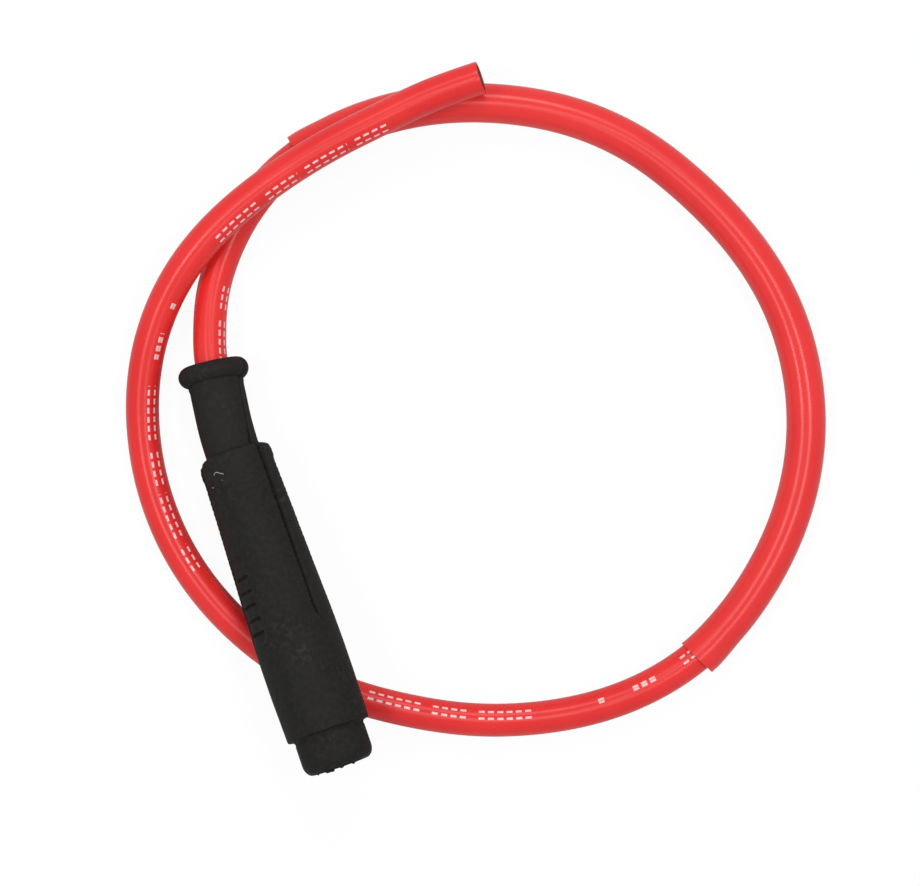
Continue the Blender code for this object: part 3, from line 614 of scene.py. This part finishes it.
# Its inside: the collar's mouth as distance from its end and how much wider, the rest as radius and height
LEAD_BORE_R = 0.0038
LEAD_BORE_Z = (SHOULDER_Z + 0.0005, CAP_LENGTH - 0.0035)
COLLAR_BORE_R = 0.00356
COLLAR_MOUTH = ((0.0025, 0), (0.0006, 0), (0.00025, 0.00006), (0.00005, 0.00028), (0, 0.0006))
BORE_R = 0.0054
MOUTH_DEPTH = 0.0120
SEAT_R = 0.0067
SEAT_TOP_Z = 0.0443
SLIM_R = 0.0050
SLIM_TOP_Z = 0.0681
INSIDE = ((0.00560, -0.00012), (0.00548, 0.00002), (0.00542, 0.00015), (BORE_R, 0.0003), (BORE_R, 0.002),
          (BORE_R, 0.005), (BORE_R, 0.009), (BORE_R, MOUTH_DEPTH), (SEAT_R, MOUTH_DEPTH), (SEAT_R, 0.028),
          (SEAT_R, SEAT_TOP_Z), (SLIM_R, SEAT_TOP_Z), (SLIM_R, 0.056), (SLIM_R, SLIM_TOP_Z),
          (LEAD_BORE_R, SLIM_TOP_Z))

# Number of rows in each stretch
COLLAR_ROWS = 24
NECK_ROWS = 46
ARC_ROWS = 11
UPPER_ROWS = 168
LOWER_ROWS = 46
UPPER_ROWS_Z = 0.0305         # down to here the rows are close, for the crease and the bars
SKIRT_ROWS = 20
LIP_ROWS = 14
LEAD_BORE_ROWS = 10

# Number of columns in each quarter: on the rib, near its edge and on the face
RIB_COLUMNS = 8
EDGE_COLUMNS = 25
FACE_COLUMNS = 25
EDGE_NEAR = math.radians(5.0)


def body_radius():
    """The body's outer radius as a function of height, below the shoulder's round."""
    knots = ((BASE_R, SKIRT_LENGTH), (BODY_R, BODY_WIDE_Z), (BODY_MID_R, BODY_MID_Z),
             (SHOULDER_R, SHOULDER_Z - SHOULDER_ROUND))
    length, place = smooth_curve(knots)
    samples = np.array([place(distance) for distance in np.linspace(0, length, 300)])
    return lambda z: np.interp(z, samples[:, 1], samples[:, 0])


def arc_back(z, radius):
    """How far a corner of this radius, which ends level with the shoulder, draws the wall in at height z."""
    above = max(z - (SHOULDER_Z - radius), 0)
    return radius - math.sqrt(max(radius ** 2 - above ** 2, 0))


def body_rows():
    """Rows from the shoulder down to the body's foot, where the reliefs run out into the body."""
    radius = body_radius()
    end_r = float(radius(RELIEF_END_Z)) - RELIEF_END_STEP
    arc = [SHOULDER_Z - RELIEF_ROUND * (1 - math.sin(math.radians(d))) for d in np.linspace(90, 0, ARC_ROWS)]
    upper = np.linspace(SHOULDER_Z - RELIEF_ROUND, UPPER_ROWS_Z, UPPER_ROWS)[1:]
    lower = np.linspace(UPPER_ROWS_Z, BASE_Z, LOWER_ROWS)[1:]
    rows = []
    for z in [*arc, *upper, *lower]:
        share = (SHOULDER_Z - z) / (SHOULDER_Z - RELIEF_END_Z)
        relief = RELIEF_SHOULDER_R + (end_r - RELIEF_SHOULDER_R) * share - arc_back(z, RELIEF_ROUND)
        outer = float(radius(min(z, SHOULDER_Z - SHOULDER_ROUND))) - arc_back(z, SHOULDER_ROUND)
        start, full, fade = FLARE_Z
        outer += SHOULDER_FLARE * float(step(z, start, full) * (1 - step(z, fade, SHOULDER_Z)))
        deep = float(step(z, *RUN_OUT_Z))
        rows.append((z, outer, min(outer, outer + (relief - outer) * deep), True))
    return rows


def boot_rows():
    """Rows down the outside and up the inside: height, outer and relief radius, and whether it has ribs."""
    rows = []

    def plain(z, radius):
        rows.append((z, radius, radius, False))

    for back, wide in COLLAR_MOUTH:
        plain(CAP_LENGTH - back, COLLAR_BORE_R + wide)
    for degrees in np.linspace(90, -66, COLLAR_ROWS):
        angle = math.radians(degrees)
        r = COLLAR_RING_R + COLLAR_TUBE_R * math.cos(angle)
        rows.append((COLLAR_MID_Z + COLLAR_TUBE_R * math.sin(angle), r, r, True))
    foot = SHOULDER_Z + NECK_FOOT
    for z in np.linspace(NECK_TOP_Z, foot, NECK_ROWS):
        blend = float(1 - step(z, *NECK_RELIEF_Z))
        r = NECK_R - UNDERCUT * math.exp(-((z - UNDERCUT_Z) / UNDERCUT_REACH) ** 2)
        rows.append((z, r, r + (RELIEF_NECK_R - NECK_R) * blend, True))
    corner = RELIEF_SHOULDER_R - RELIEF_ROUND
    for share in np.linspace(0, 1, 6)[1:]:
        angle = share * math.pi / 2
        rise = NECK_FOOT_OUT * (1 - math.cos(angle))
        rows.append((foot - NECK_FOOT * math.sin(angle), NECK_R + rise,
                     min(RELIEF_NECK_R + rise, corner), True))
    neck_foot, relief_foot = rows[-1][1], rows[-1][2]
    for share in np.linspace(0, 1, 5)[1:-1]:
        rows.append((SHOULDER_Z, neck_foot + (SHOULDER_R - SHOULDER_ROUND - neck_foot) * share,
                     relief_foot + (corner - relief_foot) * share, True))
    rows += body_rows()
    for degrees in (20, 40, 60, 80, 90):
        angle = math.radians(degrees)
        plain(BASE_Z - BASE_ROUND * math.sin(angle), BASE_R - BASE_ROUND + BASE_ROUND * math.cos(angle))
    for share in np.linspace(0, 1, 8):
        angle = share * math.pi / 2
        plain(SKIRT_LENGTH + SKIRT_MEET - SKIRT_FILLET * (1 - math.cos(angle)),
              SKIRT_R - SKIRT_MEET + SKIRT_FILLET * (1 - math.sin(angle)))
    for z in np.linspace(SKIRT_TOP_Z, LIP_LENGTH, SKIRT_ROWS):
        plain(z, SKIRT_R)
    for share in np.linspace(0, 1, LIP_ROWS)[1:]:
        angle = share * math.pi / 2
        plain(LIP_LENGTH - (LIP_LENGTH + LIP_DROP) * math.sin(angle),
              LIP_FLAT_R + (SKIRT_R - LIP_FLAT_R) * math.cos(angle))
    for r, z in INSIDE:
        plain(z, r)
    for z in np.linspace(*LEAD_BORE_Z, LEAD_BORE_ROWS):
        plain(z, LEAD_BORE_R)
    return rows


def rib_half(z):
    share = (z - RELIEF_END_Z) / (COLLAR_MID_Z - RELIEF_END_Z)
    on_neck = RIB_NECK_LESS * float(step(z, SHOULDER_Z, RIB_NECK_Z))
    return RIB_HALF_LOW + (RIB_HALF_HIGH - RIB_HALF_LOW) * min(max(share, 0), 1) - on_neck


def column_angles(edge):
    """Angles round a section, from the right rib's middle, crowded about the ribs' edges at +-edge."""
    inner, outer = max(edge - EDGE_NEAR, 0.01), edge + EDGE_NEAR
    quarter = np.concatenate([np.linspace(0, inner, RIB_COLUMNS)[:-1],
                              np.linspace(inner, outer, EDGE_COLUMNS)[:-1],
                              np.linspace(outer, math.pi / 2, FACE_COLUMNS)[:-1]])
    half = np.concatenate([quarter, math.pi - quarter[1:][::-1]])
    half = np.insert(half, len(quarter), math.pi / 2)
    return np.concatenate([half, half + math.pi])


def edge_angle(half, radius):
    """The angle at which a rib of this half thickness ends on a circle of this radius."""
    return math.asin(min(half / max(radius, half), 1))


def boot_points():
    points = []
    for z, outer, relief, ribbed in boot_rows():
        half = rib_half(z)
        edge = edge_angle(half, (outer + relief) / 2) if ribbed else math.asin(RIB_HALF_LOW / BASE_R)
        phi = column_angles(edge)
        r = np.full(len(phi), outer)
        if ribbed:
            wall = half / np.maximum(np.abs(np.sin(phi)), 1e-6)
            if outer - relief > 1e-6:
                r = soft_max(np.full(len(phi), relief), wall, RIB_FOOT)
                r = soft_min(np.full(len(phi), outer), r, min(RIB_SHARP, 0.9 * (outer - relief)))
            r = r - crease(phi, z, relief, half) - pad(phi, z)
        alpha = phi + CAP_ROLL
        pressed = COLLAR_FLAT * float(step(z, *COLLAR_FLAT_Z)) * np.maximum(np.sin(alpha), 0)
        r = r - uneven(phi, z, outer) - pressed
        shear = COLLAR_SHEAR * float(step(z, *COLLAR_SHEAR_Z))
        heights = z - shear * np.maximum(-r * np.sin(alpha), 0)
        points.append(np.stack([r * np.cos(alpha), r * np.sin(alpha), heights], axis=1))
    return to_world(bend_neck(points))


# The crease at the foot of each rib's face: a ragged groove on the body and a plainer one on the neck
CREASE_START_Z = (RELIEF_END_Z - 0.0017, RELIEF_END_Z - 0.0008)
CREASE_CHANGE_Z = (0.0712, 0.0735)
CREASE_END_Z = (0.0878, 0.0888)
CREASE_OFF = 0.00010          # of the groove's middle from the rib's face
CREASE_DEPTH = 0.00065
CREASE_WIDTH = 0.00025
TOOTH_PITCH = 0.0011
TOOTH_DEPTH = 0.00032
TOOTH_WIDTH = 0.00020
NECK_CREASE_DEPTH = 0.00045
NOTCH_DEPTH = 0.0004          # where the crease runs over the shoulder
NOTCH_REACH = 0.0009
SLOPE_DEPTH = 0.00009         # a shallow hollow beside the crease
SLOPE_OFF = 0.0005
SLOPE_REACH = 0.00045


def crease(phi, z, relief, half):
    """A dark ragged groove at the foot of each rib's face, from the relief's end up over the shoulder."""
    body = float(step(z, *CREASE_START_Z) * (1 - step(z, *CREASE_CHANGE_Z)))
    neck = float(step(z, *CREASE_CHANGE_Z) * (1 - step(z, *CREASE_END_Z)))
    away = np.abs(np.arcsin(np.clip(np.abs(np.sin(phi)), 0, 1))) - edge_angle(half, relief)
    place = away * relief
    beat = abs(math.sin(math.pi * z / TOOTH_PITCH)) * (0.75 + 0.25 * math.sin(z * 2900))
    width = CREASE_WIDTH + TOOTH_WIDTH * beat
    deep = (CREASE_DEPTH + TOOTH_DEPTH * beat) * body + NECK_CREASE_DEPTH * neck
    notch = NOTCH_DEPTH * math.exp(-((z - SHOULDER_Z) / NOTCH_REACH) ** 2)
    slope = SLOPE_DEPTH * body * np.exp(-((place - SLOPE_OFF) / SLOPE_REACH) ** 2)
    return (deep + notch) * np.exp(-((place - CREASE_OFF) / width) ** 2) + slope


PAD_LENGTH = 0.0178
PAD_HALF = 0.0035
PAD_CORNER = 0.0012
PAD_DEPTH = 0.00030
PAD_EDGE = 0.00016
PAD_MID_Z = 0.0383
PAD_FACE_R = 0.0083           # the body's radius there
PAD_ANGLE = math.radians(-128)
BAR_COUNT = 5
BAR_PITCH = 0.0030
BAR_DEPTH = 0.00060
BAR_EDGE = (0.00012, 0.00040)           # from its middle, along the cap
BAR_END = (PAD_HALF - 0.0010, PAD_HALF - 0.0006)
BARS_MID_Z = 0.0369


def pad(phi, z):
    """The shallow pad with rounded ends on the front left, with a row of plain bars sunk in it."""
    turn = (phi - PAD_ANGLE + math.pi) % math.tau - math.pi
    across = np.abs(turn) * PAD_FACE_R
    past_side = np.maximum(across - (PAD_HALF - PAD_CORNER), 0)
    past_end = max(abs(z - PAD_MID_Z) - (PAD_LENGTH / 2 - PAD_CORNER), 0)
    away = np.hypot(past_side, past_end) - PAD_CORNER
    beat = (z - BARS_MID_Z) / BAR_PITCH
    off_bar = abs(beat - round(beat)) * BAR_PITCH
    bar = (1 - step(off_bar, *BAR_EDGE)) * (1 - step(across, *BAR_END)) * float(abs(beat) < BAR_COUNT / 2)
    return PAD_DEPTH * (1 - step(away, -PAD_EDGE, PAD_EDGE)) + BAR_DEPTH * bar


WAVE_DEPTH = 0.000012
WAVES = ((1.0, 3, 310, 0.0), (0.7, 5, -520, 1.3), (0.5, 2, 900, 0.4))     # share, turns, per metre, phase
SMOOTH_INSIDE_R = 0.0057


def uneven(phi, z, outer):
    """The rubber's slight waviness, in and out by a few hundredths of a millimetre."""
    if outer < SMOOTH_INSIDE_R:
        return 0
    wave = sum(share * np.sin(turns * phi + pace * z + phase) for share, turns, pace, phase in WAVES)
    return WAVE_DEPTH * wave


def make_boot():
    boot = grid_piece("cap_boot", boot_points(), rubber, wrap=True, smooth_angle=50)
    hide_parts("rubber_boot")


# Torn lumps on the mouth's rim: degrees round the cap, width, height
FLASH_R = 0.0059
FLASH_LUMPS = ((-114, 0.00060, 0.00050), (-88, 0.00060, 0.00065), (-64, 0.00050, 0.00040),
               (151, 0.00042, 0.00036), (121, 0.00080, 0.00050), (113, 0.00060, 0.00056),
               (93, 0.00055, 0.00042), (66, 0.00045, 0.00044), (59, 0.00030, 0.00024))
FLASH_FLATNESS = 0.62
FLASH_SUNK = 0.00005
FLASH_RINGS = 7
FLASH_SIDES = 12


def make_flash():
    """Small torn lumps that the mould left on the mouth's rim."""
    verts, faces = [], []
    for turn, wide, tall in FLASH_LUMPS:
        faces += wall_faces(len(verts), FLASH_RINGS, FLASH_SIDES)
        alpha = math.radians(turn)
        for i in range(FLASH_RINGS):
            level = math.pi * i / (FLASH_RINGS - 1)
            for k in range(FLASH_SIDES):
                a = math.tau * k / FLASH_SIDES
                rough = (1 + 0.16 * math.sin(3 * a + turn) * math.sin(level)
                         + 0.10 * math.sin(5 * a + 2 * level))
                across = wide * rough * math.sin(level)
                aside = across * math.cos(a)
                out = FLASH_R + FLASH_FLATNESS * across * math.sin(a)
                verts.append((out * math.cos(alpha) - aside * math.sin(alpha),
                              out * math.sin(alpha) + aside * math.cos(alpha),
                              FLASH_SUNK - tall * rough * math.cos(level)))
    mesh = bpy.data.meshes.new("mouth_flash")
    mesh.from_pydata(to_world(verts).tolist(), [], faces)
    welded = bmesh.new()
    welded.from_mesh(mesh)
    bmesh.ops.remove_doubles(welded, verts=welded.verts, dist=0.000001)
    bmesh.ops.recalc_face_normals(welded, faces=welded.faces)
    welded.to_mesh(mesh)
    welded.free()
    mesh.materials.append(rubber)
    mesh.shade_smooth()
    flash = link_object("mouth_flash", mesh)
    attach(flash, "root")


# A bit of thread and two specks below the shoulder: the thickness of each and its points, x and z on the cap
LINT_R = 0.00736
LINT_SIDES = 8
LINT = (
    (0.00007, ((-0.0049, 0.0650), (-0.00455, 0.06545), (-0.0042, 0.0655), (-0.0034, 0.0650),
               (-0.0027, 0.0645))),
    (0.00007, ((-0.0061, 0.0630), (-0.0058, 0.0628))),
    (0.00005, ((-0.0035, 0.0636), (-0.0034, 0.0634))),
)


def make_lint():
    """Pale lint that sticks to the boot, as thin tubes with rounded ends."""
    verts, faces = [], []
    for radius, marks in LINT:
        length, place = smooth_curve(marks)
        steps = 6 * len(marks)
        faces += wall_faces(len(verts), steps + 1, LINT_SIDES) + end_faces(len(verts), steps + 1, LINT_SIDES)
        for i in range(steps + 1):
            at = length * i / steps
            x, z = place(at)
            ahead = place(min(at + 0.00005, length)) - place(max(at - 0.00005, 0))
            ahead /= np.linalg.norm(ahead)
            alpha = -math.acos(x / LINT_R)
            out = np.array([math.cos(alpha), math.sin(alpha), 0])
            aside = np.array([ahead[1] * math.sin(alpha), -ahead[1] * math.cos(alpha), ahead[0]])
            size = radius * math.sqrt(max(1 - (2 * i / steps - 1) ** 6, 0.02))
            for k in range(LINT_SIDES):
                a = math.tau * k / LINT_SIDES
                round_it = math.cos(a) * out + math.sin(a) * aside
                verts.append(LINT_R * out + np.array([0, 0, z]) + size * round_it)
    mesh = bpy.data.meshes.new("lint")
    mesh.from_pydata(to_world(verts).tolist(), [], faces)
    mesh.materials.append(grainy_material("lint", (0.55, 0.54, 0.52), (0.34, 0.33, 0.32), 0.8, 2500))
    mesh.shade_smooth()
    lint = link_object("lint", mesh)
    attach(lint, "root")


make_boot()
make_flash()
make_lint()


# Floor and light
FLOOR_HALF = 4.0
FLOOR_COLOR = (0.62, 0.62, 0.62)
FLOOR_GLOW = 0.94             # share of plain white in what the camera sees of the floor
WORLD_LIGHT = 0.53
WORLD_SEEN = 0.96
UPWARD = Vector((0, 0, 1))
LAMP_DISTANCE = 1.0
LAMPS = (                     # direction, size and power of each
    ("key_left", UPWARD * 0.906 - PICTURE_RIGHT * 0.423, 0.2, 2.15),
    ("key_right", UPWARD * 0.935 + PICTURE_RIGHT * 0.355, 0.2, 2.15),
    ("key_far", UPWARD * 0.76 + PICTURE_UP * 0.65, 0.25, 2.0),
)


def make_floor():
    """A plain floor: white for the camera, with the object's shadow kept faintly, and pale for the light."""
    n = Nodes("floor")
    mesh = bpy.data.meshes.new("floor")
    corners = [(x * FLOOR_HALF, y * FLOOR_HALF, 0) for x, y in ((-1, -1), (1, -1), (1, 1), (-1, 1))]
    mesh.from_pydata(corners, [], [(0, 1, 2, 3)])
    floor = link_object("floor", mesh)
    seen = n.add("LightPath", "Is Camera Ray")
    plain = n.add("BsdfDiffuse", 0, {"Color": n.mix(seen, FLOOR_COLOR, (1, 1, 1))})
    glow = n.add("Emission", 0, {"Color": (1, 1, 1), "Strength": 1.0})
    blend = n.add("MixShader", 0, {0: n.math("MULTIPLY", seen, FLOOR_GLOW), 1: plain, 2: glow})
    n.put(n.tree.nodes["Material Output"].inputs["Surface"], blend)
    mesh.materials.append(n.material)


def make_light(name, toward, size, power):
    data = bpy.data.lights.new(name, "AREA")
    data.shape = "SQUARE"
    data.size = size
    data.energy = power
    lamp = link_object(name, data)
    toward = toward.normalized()
    lamp.location = Vector((VIEW_X, VIEW_Y, 0)) + LAMP_DISTANCE * toward
    lamp.rotation_euler = toward.to_track_quat("Z", "Y").to_euler()


def make_world():
    """White surroundings, brighter where the camera sees them."""
    world = bpy.data.worlds.new("studio")
    bpy.context.scene.world = world
    world.use_nodes = True
    tree = world.node_tree
    ground = tree.nodes["Background"]
    pale = tree.nodes.new("ShaderNodeBackground")
    for background, strength in ((ground, WORLD_LIGHT), (pale, WORLD_SEEN)):
        background.inputs["Color"].default_value = (1, 1, 1, 1)
        background.inputs["Strength"].default_value = strength
    path = tree.nodes.new("ShaderNodeLightPath")
    blend = tree.nodes.new("ShaderNodeMixShader")
    tree.links.new(path.outputs["Is Camera Ray"], blend.inputs[0])
    tree.links.new(ground.outputs[0], blend.inputs[1])
    tree.links.new(pale.outputs[0], blend.inputs[2])
    tree.links.new(blend.outputs[0], tree.nodes["World Output"].inputs["Surface"])


make_floor()
make_world()
for name, toward, size, power in LAMPS:
    make_light(name, toward, size, power)
bpy.context.scene.view_settings.view_transform = "Standard"
